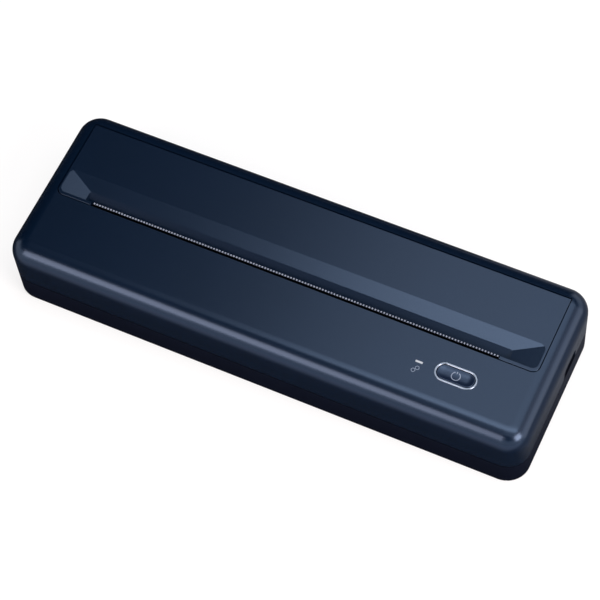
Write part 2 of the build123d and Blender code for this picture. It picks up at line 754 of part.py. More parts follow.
# ---------------------------------------------------------------- gear train positions
# Each gear has the whole number of teeth that comes nearest to its named size.
platen_teeth = round(platen_gear_size / gear_module)
idler_teeth = round(idler_size / gear_module)
reduction_small_teeth = round(reduction_small_size / gear_module)
reduction_large_teeth = round(reduction_large_size / gear_module)
pinion_teeth = round(pinion_size / gear_module)
platen_gear_radius = gear_module * platen_teeth / 2
idler_radius = gear_module * idler_teeth / 2
small_radius = gear_module * reduction_small_teeth / 2
large_radius = gear_module * reduction_large_teeth / 2
pinion_radius = gear_module * pinion_teeth / 2
idler_reach = platen_gear_radius + idler_radius + centre_gap
# The idler lies straight below the platen gear along the lid's swing, so that the two
# draw apart without clashing as the lid starts to lift.
idler_y = platen_y - idler_reach * up_y
idler_z = platen_z - idler_reach * up_z
small_reach = idler_radius + small_radius + centre_gap
reduction_z = floor_z + large_radius + 1.8
reduction_y = idler_y - sqrt(small_reach ** 2 - (idler_z - reduction_z) ** 2)
pinion_reach = large_radius + pinion_radius + centre_gap
motor_z = floor_z + motor_radius + 1.2
motor_y = reduction_y - sqrt(pinion_reach ** 2 - (reduction_z - motor_z) ** 2)
pivot_y, pivot_z = head_point(-pivot_below, heater_thickness + sink_thickness / 2)

near_gear = -ear_inner  # inner face of the gears nearest the side plate
far_gear = -ear_outer - 0.6
far_end = far_gear - gear_width

# ---------------------------------------------------------------- print mechanism
# Frame: one bent and pierced steel sheet. Its side plates hold the platen's bushes in
# curved slots, the pivots of the print head, the motor and the gear posts.
start_angle = degrees(atan2(away_z, away_y))
slot_side = bush_radius + bush_gap
slot_turn = 16.0
web_base_z = frame_top_z - web_height
motor_ear = 12.0  # from the motor's axis to its screws
motor_turn = -20.0
with BuildPart() as print_frame:
    with BuildSketch(Plane.XY.offset(frame_base_z)):
        with Locations((0, (frame_front + frame_back) / 2 + 0.8)):
            Rectangle(2 * frame_outer, frame_back - frame_front - 4.0)
        with Locations(*frame_spots):
            Circle(frame_screw_radius + 2 * screw_clearance, mode=Mode.SUBTRACT)
        with Locations((0, 1.0)):
            with GridLocations(44.0, 1, 4, 1):
                SlotOverall(32.0, 5.0, mode=Mode.SUBTRACT)
    extrude(amount=frame_floor)
    for side in (-1, 1):
        with BuildSketch(Plane.YZ.offset(side * frame_inner)):
            with BuildLine():
                Polyline((frame_front, frame_top_z), (frame_front, web_base_z),
                         (frame_front + 2.0, web_base_z), (frame_front + 2.0, frame_base_z),
                         (frame_back, frame_base_z), (frame_back, frame_top_z), close=True)
            make_face()
            if side < 0:
                with BuildLine():
                    Polyline((motor_y - motor_ear - 2.0, frame_base_z),
                             (frame_front + 3.0, frame_base_z),
                             (frame_front + 3.0, web_base_z),
                             (motor_y - motor_ear - 2.0, web_base_z), close=True)
                make_face()
            with BuildLine():
                outer = CenterArc((hinge_y, hinge_z), swing_radius + slot_side,
                                  start_angle, -slot_turn)
                inner = CenterArc((hinge_y, hinge_z), swing_radius - slot_side,
                                  start_angle, -slot_turn)
                Line(outer @ 0, inner @ 0)
                Line(outer @ 1, inner @ 1)
            make_face(mode=Mode.SUBTRACT)
            with Locations((platen_y, platen_z)):
                Circle(slot_side, mode=Mode.SUBTRACT)
            with Locations((pivot_y, pivot_z)):
                Circle(pivot_radius + running_gap, mode=Mode.SUBTRACT)
            if side < 0:
                with Locations((motor_y, motor_z)):
                    Circle(4.2, mode=Mode.SUBTRACT)
                    with PolarLocations(motor_ear, 2, start_angle=motor_turn):
                        Circle(small_screw_radius, mode=Mode.SUBTRACT)
                with Locations((idler_y, idler_z), (reduction_y, reduction_z)):
                    Circle(post_radius, mode=Mode.SUBTRACT)
        extrude(amount=side * frame_sheet)
    with BuildSketch(Plane.XZ.offset(-frame_front - web_sheet)):
        with Locations((0, frame_top_z)):
            Rectangle(2 * frame_outer, web_height, align=(Align.CENTER, Align.MAX))
    extrude(amount=web_sheet)
print_frame.part.label = "print_frame"
export_step(print_frame.part, "parts/print_frame.step")

with BuildPart() as frame_screws:
    with BuildSketch(Plane.XY.offset(frame_floor_z)):
        with Locations(*frame_spots):
            Circle(2 * frame_screw_radius)
    extrude(amount=1.2)
    with BuildSketch(Plane.XY.offset(frame_floor_z)):
        with Locations(*frame_spots):
            Circle(frame_screw_radius)
    extrude(amount=-frame_floor - frame_stand - 0.8)
frame_screws.part.label = "frame_screws"
export_step(frame_screws.part, "parts/frame_screws.step")

# Platen: a rubber sleeve on a steel shaft that turns in two plastic bushes.
with BuildPart() as platen_roller:
    with BuildSketch(Plane.YZ):
        with Locations((platen_y, platen_z)):
            Circle(platen_radius)
            Circle(shaft_radius, mode=Mode.SUBTRACT)
    extrude(amount=roller_half, both=True)
    chamfer(platen_roller.edges().filter_by(GeomType.CIRCLE).group_by(SortBy.RADIUS)[-1], 0.4)
platen_roller.part.label = "platen_roller"
export_step(platen_roller.part, "parts/platen_roller.step")

with BuildPart() as platen_shaft:
    with BuildSketch(Plane.YZ.offset(far_end - 0.8)):
        with Locations((platen_y, platen_z)):
            Circle(shaft_radius)
    extrude(amount=ear_outer + 0.8 - far_end + 0.8)
    chamfer(platen_shaft.edges().filter_by(GeomType.CIRCLE), 0.3)
platen_shaft.part.label = "platen_shaft"
export_step(platen_shaft.part, "parts/platen_shaft.step")

with BuildPart() as platen_bushes:
    for side in (-1, 1):
        with BuildSketch(Plane.YZ.offset(side * (ear_inner - 0.2))):
            with Locations((platen_y, platen_z)):
                Circle(bush_radius)
                Circle(shaft_radius + running_gap, mode=Mode.SUBTRACT)
        extrude(amount=-side * bush_length)
platen_bushes.part.label = "platen_bushes"
export_step(platen_bushes.part, "parts/platen_bushes.step")

# Print head: a ceramic heater strip bonded to an aluminium heat sink, which rocks on two
# stub pivots. The face leans back so that the lid can swing the platen past it.
lean = Plane(origin=(0, heater_y, heater_z), x_dir=(1, 0, 0), z_dir=(0, away_y, away_z))
with BuildPart() as print_head:
    with BuildSketch(lean):
        with Locations((0, 1.6)):
            Rectangle(2 * roller_half + 1.0, heater_width, align=(Align.CENTER, Align.MAX))
    extrude(amount=heater_thickness)
    with BuildSketch(lean):
        Rectangle(2 * roller_half - 4.0, 0.7)
    extrude(amount=-0.05)
print_head.part.label = "print_head"
export_step(print_head.part, "parts/print_head.step")

with BuildPart() as heat_sink:
    with BuildSketch(lean.offset(heater_thickness)):
        with Locations((0, sink_above)):
            Rectangle(2 * roller_half + 1.6, sink_above + sink_below,
                      align=(Align.CENTER, Align.MAX))
    extrude(amount=sink_thickness)
    for side in (-1, 1):
        with BuildSketch(Plane.YZ.offset(side * roller_half)):
            with Locations((pivot_y, pivot_z)):
                Circle(pivot_radius)
        extrude(amount=side * (frame_outer + 0.3 - roller_half))
heat_sink.part.label = "heat_sink"
export_step(heat_sink.part, "parts/heat_sink.step")

# Head springs: three bent strips of spring steel between the frame's web and the head.
web_back = frame_front + web_sheet
tip_y, tip_z = head_point(0.0, heater_thickness + sink_thickness + 0.45)
with BuildPart() as head_springs:
    with BuildSketch(Plane.YZ):
        with BuildLine():
            FilletPolyline((web_back + 0.15, frame_top_z - 1.0), (web_back + 0.15, tip_z + 2.6),
                           (tip_y, tip_z), (tip_y - 1.6, tip_z - 2.2), radius=0.6)
        trace(line_width=0.3)
    extrude(amount=6.0, both=True)
with BuildPart() as head_spring_row:
    with Locations((-0.55 * roller_half, 0, 0), (0, 0, 0), (0.55 * roller_half, 0, 0)):
        add(head_springs.part)
head_spring_row.part.label = "head_springs"
export_step(head_spring_row.part, "parts/head_springs.step")

# Head ribbon: the flat cable from the foot of the head, under the web, to the board.
ribbon_y, ribbon_z = head_point(-7.0, heater_thickness + sink_thickness + 0.5)
with BuildPart() as head_ribbon:
    with BuildSketch(Plane.YZ):
        with BuildLine():
            FilletPolyline((ribbon_y, ribbon_z), (ribbon_y - 1.0, ribbon_z - 3.2),
                           (-9.5, ribbon_z - 4.6), (-15.9, ribbon_z + 1.0),
                           (-15.9, board_z - board_sheet - 1.0), radius=1.4)
        trace(line_width=0.3)
    extrude(amount=18.0, both=True)
head_ribbon.part.label = "head_ribbon"
export_step(head_ribbon.part, "parts/head_ribbon.step")

with BuildPart() as ribbon_socket:
    with BuildSketch(Plane.XY.offset(board_z - board_sheet)):
        with Locations((0, -15.9)):
            Rectangle(40.0, 3.0)
    extrude(amount=-1.0)
ribbon_socket.part.label = "ribbon_socket"
export_step(ribbon_socket.part, "parts/ribbon_socket.step")


# ---------------------------------------------------------------- gears
def gear_outline(teeth, phase):
    """Corners of an involute gear outline, with one tooth centred on the angle phase."""
    pitch = gear_module * teeth / 2
    base = pitch * cos(radians(20))
    tip = pitch + 0.8 * gear_module
    root = pitch - 1.1 * gear_module
    half_pitch = pi / (2 * teeth) - tooth_thinning / (2 * pitch)

    def half_angle(radius):
        roll = acos(min(1.0, base / radius))
        return half_pitch + (tan(radians(20)) - radians(20)) - (tan(roll) - roll)

    flank = [(root, half_angle(max(root, base)))]
    flank += [(radius, half_angle(radius)) for radius in (base, pitch, tip) if radius > root]
    corners = []
    for tooth in range(teeth):
        middle = radians(phase) + 2 * pi * tooth / teeth
        left = [(radius, middle - angle) for radius, angle in flank]
        right = [(radius, middle + angle) for radius, angle in reversed(flank)]
        corners += [(radius * cos(angle), radius * sin(angle)) for radius, angle in left + right]
    return corners


def meshed_phase(teeth, phase, mate_teeth, toward):
    """Phase of a mating gear that lies in the direction toward, so that the teeth mesh."""
    return toward + 180 + 180 / mate_teeth + (toward - phase) * teeth / mate_teeth


def direction(from_y, from_z, to_y, to_z):
    """Angle in the YZ plane from one gear's centre to the next."""
    return degrees(atan2(to_z - from_z, to_y - from_y))


platen_phase = 0.0
idler_phase = meshed_phase(platen_teeth, platen_phase, idler_teeth,
                           direction(platen_y, platen_z, idler_y, idler_z))
reduction_phase = meshed_phase(idler_teeth, idler_phase, reduction_small_teeth,
                               direction(idler_y, idler_z, reduction_y, reduction_z))
pinion_phase = meshed_phase(reduction_large_teeth, reduction_phase, pinion_teeth,
                            direction(reduction_y, reduction_z, motor_y, motor_z))

with BuildPart() as platen_gear:
    with BuildSketch(Plane.YZ.offset(far_end)):
        with Locations((platen_y, platen_z)):
            Polygon(*gear_outline(platen_teeth, platen_phase), align=None)
            Circle(shaft_radius, mode=Mode.SUBTRACT)
    extrude(amount=gear_width)
platen_gear.part.label = "platen_gear"
export_step(platen_gear.part, "parts/platen_gear.step")

with BuildPart() as idler_gear:
    with BuildSketch(Plane.YZ.offset(far_end)):
        with Locations((idler_y, idler_z)):
            Polygon(*gear_outline(idler_teeth, idler_phase), align=None)
            Circle(post_radius + running_gap, mode=Mode.SUBTRACT)
    extrude(amount=gear_width)
idler_gear.part.label = "idler_gear"
export_step(idler_gear.part, "parts/idler_gear.step")

# Reduction gear: a large gear for the pinion and a small one for the idler, in one piece.
large_width = near_gear - far_gear - 0.6
with BuildPart() as reduction_gear:
    with BuildSketch(Plane.YZ.offset(far_end)):
        with Locations((reduction_y, reduction_z)):
            Polygon(*gear_outline(reduction_small_teeth, reduction_phase), align=None)
    extrude(amount=near_gear - far_end - large_width)
    with BuildSketch(Plane.YZ.offset(near_gear - large_width)):
        with Locations((reduction_y, reduction_z)):
            Polygon(*gear_outline(reduction_large_teeth, reduction_phase), align=None)
    extrude(amount=large_width)
    with BuildSketch(Plane.YZ.offset(far_end)):
        with Locations((reduction_y, reduction_z)):
            Circle(post_radius + running_gap)
    extrude(amount=2 * half_length, mode=Mode.SUBTRACT)
reduction_gear.part.label = "reduction_gear"
export_step(reduction_gear.part, "parts/reduction_gear.step")

# Gear posts: two steel studs riveted into the left side plate, each with a head at its
# end; the idler's has a collar too.
with BuildPart() as gear_posts:
    with BuildSketch(Plane.YZ.offset(-frame_inner)):
        with Locations((idler_y, idler_z), (reduction_y, reduction_z)):
            Circle(post_radius)
    extrude(amount=far_end - 0.2 + frame_inner)
    with BuildSketch(Plane.YZ.offset(far_gear + 0.1)):
        with Locations((idler_y, idler_z)):
            Circle(post_radius + 0.9)
    extrude(amount=0.4)
    with BuildSketch(Plane.YZ.offset(far_end - 0.2)):
        with Locations((idler_y, idler_z), (reduction_y, reduction_z)):
            Circle(post_radius + 0.9)
    extrude(amount=-0.8)
gear_posts.part.label = "gear_posts"
export_step(gear_posts.part, "parts/gear_posts.step")

# Motor: a small stepper in a drawn can, with a flange and two ears.
with BuildPart() as motor:
    with BuildSketch(Plane.YZ.offset(-frame_inner)):
        with Locations((motor_y, motor_z)):
            Circle(motor_radius)
            SlotCenterToCenter(2 * motor_ear, 5.0, rotation=motor_turn)
            with PolarLocations(motor_ear, 2, start_angle=motor_turn):
                Circle(small_screw_radius + screw_clearance, mode=Mode.SUBTRACT)
    extrude(amount=1.0)
    with BuildSketch(Plane.YZ.offset(1.0 - frame_inner)):
        with Locations((motor_y, motor_z)):
            Circle(motor_radius - 0.3)
    extrude(amount=motor_length - 1.0)
    chamfer(motor.faces().sort_by(Axis.X)[-1].edges(), 0.8)
    with BuildSketch(Plane.YZ.offset(-frame_inner)):
        with Locations((motor_y, motor_z)):
            Circle(4.0)
    extrude(amount=-frame_sheet)
    with BuildSketch(Plane.YZ.offset(-frame_outer)):
        with Locations((motor_y, motor_z)):
            Circle(motor_shaft_radius + running_gap)
    extrude(amount=motor_length - 2.0, mode=Mode.SUBTRACT)
motor.part.label = "motor"
export_step(motor.part, "parts/motor.step")

with BuildPart() as motor_screws:
    with BuildSketch(Plane.YZ.offset(1.0 - frame_inner)):
        with Locations((motor_y, motor_z)):
            with PolarLocations(motor_ear, 2, start_angle=motor_turn):
                Circle(small_head_radius)
    extrude(amount=small_head_height)
    with BuildSketch(Plane.YZ.offset(1.0 - frame_inner)):
        with Locations((motor_y, motor_z)):
            with PolarLocations(motor_ear, 2, start_angle=motor_turn):
                Circle(small_screw_radius)
    extrude(amount=-1.0 - frame_sheet)
motor_screws.part.label = "motor_screws"
export_step(motor_screws.part, "parts/motor_screws.step")

with BuildPart() as motor_shaft:
    with BuildSketch(Plane.YZ.offset(near_gear - large_width)):
        with Locations((motor_y, motor_z)):
            Circle(motor_shaft_radius)
    extrude(amount=frame_outer - ear_inner + large_width + motor_length - 4.0)
motor_shaft.part.label = "motor_shaft"
export_step(motor_shaft.part, "parts/motor_shaft.step")

with BuildPart() as motor_pinion:
    with BuildSketch(Plane.YZ.offset(near_gear - large_width)):
        with Locations((motor_y, motor_z)):
            Polygon(*gear_outline(pinion_teeth, pinion_phase), align=None)
            Circle(motor_shaft_radius, mode=Mode.SUBTRACT)
    extrude(amount=large_width)
motor_pinion.part.label = "motor_pinion"
export_step(motor_pinion.part, "parts/motor_pinion.step")

# ---------------------------------------------------------------- paper path
# Paper tray: a half-round cradle for a drop-in roll, with end cheeks, and a lip that
# leads the sheet from the roll to the underside of the platen.
lip_z = platen_z - platen_radius - 1.4
lip_fall = 0.4
cheek_front = platen_y + platen_radius + 0.5
with BuildPart() as paper_tray:
    with BuildSketch(Plane.YZ):
        with Locations((tray_y, tray_z)):
            Circle(tray_outer)
            Circle(tray_inner, mode=Mode.SUBTRACT)
            Rectangle(3 * tray_outer, 2 * tray_outer, align=(Align.CENTER, Align.MIN),
                      mode=Mode.SUBTRACT)
            with Locations((tray_outer, 0)):
                Rectangle(tray_wall, 10.0, align=(Align.MAX, Align.MIN))
            with Locations((-tray_outer, 0)):
                Rectangle(tray_wall, 10.0, align=(Align.MIN, Align.MIN))
        with Locations((tray_y, lip_z - lip_fall)):
            Rectangle(2 * tray_outer + 1.0, 2 * tray_outer, align=(Align.MAX, Align.MIN),
                      mode=Mode.SUBTRACT)
        with BuildLine():
            Polyline((tray_front + tray_wall, lip_z - lip_fall), (platen_y, lip_z),
                     (platen_y, lip_z - tray_wall),
                     (tray_front + tray_wall, lip_z - lip_fall - tray_wall), close=True)
        make_face()
    extrude(amount=tray_half, both=True)
    for side in (-1, 1):
        with BuildSketch(Plane.YZ.offset(side * tray_half)):
            with Locations((tray_y, tray_z)):
                Circle(tray_outer)
                Rectangle(3 * tray_outer, 2 * tray_outer, align=(Align.CENTER, Align.MIN),
                          mode=Mode.SUBTRACT)
            with Locations((tray_y + tray_outer, tray_z)):
                Rectangle(tray_y + tray_outer - cheek_front, 6.0,
                          align=(Align.MAX, Align.MIN))
        extrude(amount=-side * tray_wall)
paper_tray.part.label = "paper_tray"
export_step(paper_tray.part, "parts/paper_tray.step")

with BuildPart() as paper_sensor:
    with BuildSketch(Plane.XY.offset(lip_z - tray_wall - lip_fall)):
        with Locations((0, (platen_y + tray_front) / 2)):
            Rectangle(6.0, 3.4)
    extrude(amount=-2.6)
paper_sensor.part.label = "paper_sensor"
export_step(paper_sensor.part, "parts/paper_sensor.step")

# Lid switch: a small switch on the right side plate, pressed by the lid's ear.
switch_top = platen_z - ear_radius - 0.3
with BuildPart() as lid_switch:
    with BuildSketch(Plane.XY.offset(switch_top - 1.6)):
        with Locations((frame_outer, platen_y)):
            Rectangle(switch_width, 7.0, align=(Align.MIN, Align.CENTER))
    extrude(amount=-6.0)
    with BuildSketch(Plane.XY.offset(switch_top - 1.6)):
        with Locations((ear_centre, platen_y)):
            Circle(0.8)
    extrude(amount=1.6)
lid_switch.part.label = "lid_switch"
export_step(lid_switch.part, "parts/lid_switch.step")
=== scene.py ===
import math

import bmesh
import bpy
from mathutils import Matrix, Vector


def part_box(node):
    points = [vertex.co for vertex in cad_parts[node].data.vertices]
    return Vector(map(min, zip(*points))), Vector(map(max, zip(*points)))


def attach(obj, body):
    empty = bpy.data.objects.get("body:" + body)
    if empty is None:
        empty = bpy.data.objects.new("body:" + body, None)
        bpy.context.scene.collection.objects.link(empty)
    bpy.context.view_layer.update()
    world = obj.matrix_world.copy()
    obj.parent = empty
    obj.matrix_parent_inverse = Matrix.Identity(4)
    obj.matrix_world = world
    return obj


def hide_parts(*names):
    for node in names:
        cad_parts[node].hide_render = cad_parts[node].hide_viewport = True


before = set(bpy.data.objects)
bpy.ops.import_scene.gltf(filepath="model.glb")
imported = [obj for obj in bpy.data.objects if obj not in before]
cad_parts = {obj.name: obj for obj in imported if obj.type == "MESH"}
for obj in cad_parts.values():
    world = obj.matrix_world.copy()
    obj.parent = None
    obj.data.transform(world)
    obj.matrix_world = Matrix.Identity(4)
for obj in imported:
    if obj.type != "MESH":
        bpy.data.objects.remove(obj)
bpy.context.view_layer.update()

# Lower shell: the tray that the printer stands on, injection moulded in black ABS. Its mould
# was spark eroded, which leaves a fine satin grain, and it shows under the parting line.


def colour(code):
    """The linear RGBA of an sRGB hex value."""
    parts = [int(code[at:at + 2], 16) / 255 for at in (1, 3, 5)]
    return [part / 12.92 if part <= 0.04045 else ((part + 0.055) / 1.055) ** 2.4
            for part in parts] + [1]


def per_metre(size_mm):
    """The scale that gives a texture features of this size, on coordinates in metres."""
    return 1000 / size_mm


def add(finish, kind, sockets=None, **settings):
    """Adds a node to a finish or the world. A socket takes a value or another's output."""
    tree = finish.node_tree
    node = tree.nodes.new("ShaderNode" + kind)
    for name, value in settings.items():
        setattr(node, name, value)
    for name, value in (sockets or {}).items():
        socket = next(found for found in node.inputs if found.identifier == name)
        if isinstance(value, bpy.types.NodeSocket):
            tree.links.new(value, socket)
        else:
            socket.default_value = value
    return node


def new_finish(name, **sockets):
    """A material, its shader, and the object's own coordinates to pattern it by."""
    finish = bpy.data.materials.new(name)
    finish.use_nodes = True
    shader = finish.node_tree.nodes["Principled BSDF"]
    for socket, value in sockets.items():
        shader.inputs[socket.replace("_", " ")].default_value = value
    return finish, shader, add(finish, "TexCoord").outputs["Object"]


def join(finish, output, shader, socket):
    """Links an output to a socket of the shader."""
    finish.node_tree.links.new(output, shader.inputs[socket])


def dress(finish, *nodes):
    """Gives CAD nodes their finish."""
    for name in nodes:
        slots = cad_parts[name].data.materials
        slots.clear()
        slots.append(finish)


# Spark-eroded ABS: a dull black with a faint blue cast, whose grain breaks the reflection.
# The bevel along its top edge lies in the groove of the parting line, where it is made duller
# and darker as painted shade of the groove.
grain_mm = 0.35
black_abs, shader, place = new_finish("black_abs_spark_eroded", IOR=1.53,
                                      Specular_IOR_Level=0.2,
                                      Specular_Tint=colour("#A9C4FF"))
grain = add(black_abs, "TexNoise",
            {"Vector": place, "Scale": per_metre(grain_mm), "Detail": 3.0, "Roughness": 0.6})
bump = add(black_abs, "Bump",
           {"Height": grain.outputs["Fac"], "Strength": 0.12, "Distance": 0.00003})
cast = add(black_abs, "TexNoise", {"Vector": place, "Scale": per_metre(28.0), "Detail": 2.0})
tone = add(black_abs, "Mix", {"Factor_Float": cast.outputs["Fac"], "A_Color": colour("#060A17"),
                              "B_Color": colour("#080C1B")}, data_type="RGBA")
wall_height = 0.0157
bevel = 0.00035
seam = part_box("lower_shell")[0].z + wall_height
height = add(black_abs, "SeparateXYZ", {"Vector": place}).outputs["Z"]
# Painted shade: the bevel at the seam is darkened and made matt, for the shadow in the groove.
painted_seam_shade = add(black_abs, "MapRange", {"Value": height, "From Min": seam - 1.2 * bevel,
                                     "From Max": seam - bevel})
tone = add(black_abs, "Mix", {"Factor_Float": painted_seam_shade.outputs["Result"],
                              "A_Color": tone.outputs[2], "B_Color": colour("#020204")},
           data_type="RGBA")
dull = add(black_abs, "MapRange", {"Value": painted_seam_shade.outputs["Result"], "To Min": 0.5,
                                   "To Max": 1.0})
join(black_abs, bump.outputs["Normal"], shader, "Normal")
join(black_abs, dull.outputs["Result"], shader, "Roughness")
join(black_abs, tone.outputs[2], shader, "Base Color")
dress(black_abs, "lower_shell")

# Rubber feet: four pads moulded in black rubber and glued into pockets of the base. They are
# matt and slightly dusty.
rubber, shader, place = new_finish("moulded_rubber", IOR=1.52, Roughness=0.78)
dust = add(rubber, "TexNoise", {"Vector": place, "Scale": per_metre(2.4), "Detail": 6.0})
tone = add(rubber, "Mix", {"Factor_Float": dust.outputs["Fac"], "A_Color": colour("#141415"),
                           "B_Color": colour("#29292A")}, data_type="RGBA")
bump = add(rubber, "Bump", {"Height": dust.outputs["Fac"], "Strength": 0.2,
                            "Distance": 0.00004})
join(rubber, tone.outputs[2], shader, "Base Color")
join(rubber, bump.outputs["Normal"], shader, "Normal")
dress(rubber, "rubber_feet")

# Upper shell and lid: the rolled hood and its hinged cover, moulded in the same dark navy
# ABS and left semi-gloss, so that they take a broad soft sheen from the light above.

# Navy ABS: a deep blue body under a smooth skin. A slow ripple of the moulding moves the
# reflection a little, and a fine grain keeps it from being a mirror.
ripple_mm = 34.0
skin_mm = 0.3
navy_abs, shader, place = new_finish("navy_abs_semi_gloss", IOR=1.53,
                                     Specular_IOR_Level=0.65,
                                     Specular_Tint=colour("#B9D5FF"))
ripple = add(navy_abs, "TexNoise",
             {"Vector": place, "Scale": per_metre(ripple_mm), "Detail": 1.0})
skin = add(navy_abs, "TexNoise",
           {"Vector": place, "Scale": per_metre(skin_mm), "Detail": 2.0, "Roughness": 0.55})
sink = add(navy_abs, "Bump",
           {"Height": ripple.outputs["Fac"], "Strength": 0.1, "Distance": 0.0002})
bump = add(navy_abs, "Bump", {"Height": skin.outputs["Fac"], "Strength": 0.05,
                              "Distance": 0.00002, "Normal": sink.outputs["Normal"]})
tone = add(navy_abs, "Mix", {"Factor_Float": ripple.outputs["Fac"],
                             "A_Color": colour("#030F20"), "B_Color": colour("#041225")},
           data_type="RGBA")
gloss = add(navy_abs, "MapRange", {"Value": skin.outputs["Fac"], "To Min": 0.22,
                                   "To Max": 0.28})
join(navy_abs, tone.outputs[2], shader, "Base Color")
join(navy_abs, gloss.outputs["Result"], shader, "Roughness")
join(navy_abs, bump.outputs["Normal"], shader, "Normal")
dress(navy_abs, "upper_shell", "lid")

# Screws: cold-headed steel, zinc plated, driven into the posts of the shells from the wells
# of the base and inside the casing.

# Zinc plate: a pale bluish metal, blotched where the bath left it thinner.
zinc_plate, shader, place = new_finish("zinc_plate", Metallic=1.0)
blotch = add(zinc_plate, "TexNoise", {"Vector": place, "Scale": per_metre(1.2),
                                      "Detail": 4.0})
tone = add(zinc_plate, "Mix", {"Factor_Float": blotch.outputs["Fac"],
                               "A_Color": colour("#A3A8B2"), "B_Color": colour("#C8CACC")},
           data_type="RGBA")
dull = add(zinc_plate, "MapRange", {"Value": blotch.outputs["Fac"], "To Min": 0.28,
                                    "To Max": 0.46})
join(zinc_plate, tone.outputs[2], shader, "Base Color")
join(zinc_plate, dull.outputs["Result"], shader, "Roughness")
dress(zinc_plate, "case_screws", "tear_bar_screws", "board_screws", "frame_screws",
      "motor_screws")

# Tear bar: a spring steel strip on edge, screwed down along the front of the paper slot, its
# top ground into teeth.

# Spring steel, ground at the tips of its teeth so that they show bright as a fine broken line.
# Below the tips the strip is painted dark, as painted shade of the slot that it stands in.
# The scratches of the grinding run up the strip.
scratch_mm = 0.12
ground_mm = 0.6
ground_steel, shader, place = new_finish("ground_spring_steel", Metallic=1.0)
strokes = add(ground_steel, "Mapping", {"Vector": place, "Scale": (1.0, 1.0, 0.06)})
scratch = add(ground_steel, "TexNoise",
              {"Vector": strokes.outputs["Vector"], "Scale": per_metre(scratch_mm),
               "Detail": 2.0})
keen = add(ground_steel, "MapRange", {"Value": scratch.outputs["Fac"], "To Min": 0.32,
                                      "To Max": 0.5})
height = add(ground_steel, "SeparateXYZ", {"Vector": place}).outputs["Z"]
tear_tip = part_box("tear_bar")[1].z
ground = ground_mm / 1000
# Painted shade: below the ground tips the strip is coloured dark, for the shade of the slot.
tips_above_painted_shade = add(ground_steel, "MapRange", {"Value": height, "From Min": tear_tip - ground,
                                      "From Max": tear_tip - 0.8 * ground})
tone = add(ground_steel, "Mix", {"Factor_Float": tips_above_painted_shade.outputs["Result"],
                                 "A_Color": colour("#22252C"), "B_Color": colour("#939CAE")},
           data_type="RGBA")
bump = add(ground_steel, "Bump", {"Height": scratch.outputs["Fac"], "Strength": 0.15,
                                  "Distance": 0.00001})
join(ground_steel, tone.outputs[2], shader, "Base Color")
join(ground_steel, keen.outputs["Result"], shader, "Roughness")
join(ground_steel, bump.outputs["Normal"], shader, "Normal")
dress(ground_steel, "tear_bar")

# Power button: a moulded cap with a dished top and a pale sign printed on it, in a ring of
# plated plastic. The cap slides in the ring. Its flange is caught under the roof, and its
# stem stands on the plunger of its switch.
stem_foot, cap_top = (corner.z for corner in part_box("power_button"))
ring_low, ring_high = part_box("button_ring")
cap_centre = ((ring_low + ring_high) / 2).to_2d()
ring_half = (ring_high.y - ring_low.y) / 2
spine_half = (ring_high.x - ring_low.x) / 2 - ring_half
ring_width = 0.0012
flange_overlap = 0.0005
flange_drop = 0.00225
flange_thickness = 0.001
stem_half = 0.0016
rim_round = 0.0004
rim_steps = 4
dish_depth = 0.0006
dish_rings = 14
cap_half = ring_half - ring_width
dish_half = cap_half - rim_round
flange_half = ring_half + flange_overlap
flange_top = cap_top - flange_drop
flange_foot = flange_top - flange_thickness


def dish_height(out):
    """The height of the dish at this distance from the cap's spine."""
    return cap_top - dish_depth * (1 - (out / dish_half) ** 2)


def stadium(mesh, spine, radius, height, steps=32):
    """A ring of vertices at this distance round a spine of this half length."""
    corners = []
    for side in (1, -1):
        for step in range(steps + 1):
            turn = math.pi * (step / steps - 0.5)
            across = side * (spine + radius * math.cos(turn))
            along = side * radius * math.sin(turn)
            corners.append(mesh.verts.new((cap_centre.x + across, cap_centre.y + along, height)))
    return corners


# The cap is a skin over stadium-shaped rings, from the foot of the stem up the side, over the
# rounded rim and down into the dish.
outline = [(0, stem_half, stem_foot), (0, stem_half, flange_foot),
           (spine_half, flange_half, flange_foot), (spine_half, flange_half, flange_top),
           (spine_half, cap_half, flange_top)]
for step in range(rim_steps + 1):
    turn = math.pi / 2 * step / rim_steps
    outline.append((spine_half, dish_half + rim_round * math.cos(turn),
                    cap_top - rim_round * (1 - math.sin(turn))))
for step in range(dish_rings - 1, 0, -1):
    out = dish_half * step / dish_rings
    outline.append((spine_half, out, dish_height(out)))
mesh = bmesh.new()
rings = [stadium(mesh, *row) for row in outline]
for lower, upper in zip(rings, rings[1:]):
    for at in range(len(lower)):
        after = (at + 1) % len(lower)
        mesh.faces.new((lower[at], lower[after], upper[after], upper[at]))
mesh.faces.new(rings[0])
mesh.faces.new(rings[-1])
bmesh.ops.remove_doubles(mesh, verts=mesh.verts, dist=1e-7)
bmesh.ops.recalc_face_normals(mesh, faces=mesh.faces)
# The rim and the dish are smooth, and the sides, the flange and the stem keep their edges.
for face in mesh.faces:
    face.smooth = min(corner.co.z for corner in face.verts) > flange_top
cap_data = bpy.data.meshes.new("cap")
mesh.to_mesh(cap_data)
mesh.free()
cap = bpy.data.objects.new("power_cap", cap_data)
bpy.context.scene.collection.objects.link(cap)
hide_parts("power_button")
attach(cap, "button")

# Satin navy ABS of the cap: the far side of its dish takes the light from above, and its
# near side goes dark.
cap_abs, shader, place = new_finish("satin_navy_abs", IOR=1.53, Roughness=0.3,
                                    Specular_IOR_Level=0.65,
                                    Specular_Tint=colour("#B9D5FF"))
grain = add(cap_abs, "TexNoise", {"Vector": place, "Scale": per_metre(0.3), "Detail": 3.0})
bump = add(cap_abs, "Bump", {"Height": grain.outputs["Fac"], "Strength": 0.1,
                             "Distance": 0.00002})
tone = add(cap_abs, "Mix", {"Factor_Float": grain.outputs["Fac"],
                            "A_Color": colour("#0A1528"), "B_Color": colour("#0D192E")},
           data_type="RGBA")
join(cap_abs, tone.outputs[2], shader, "Base Color")
join(cap_abs, bump.outputs["Normal"], shader, "Normal")
cap_data.materials.append(cap_abs)

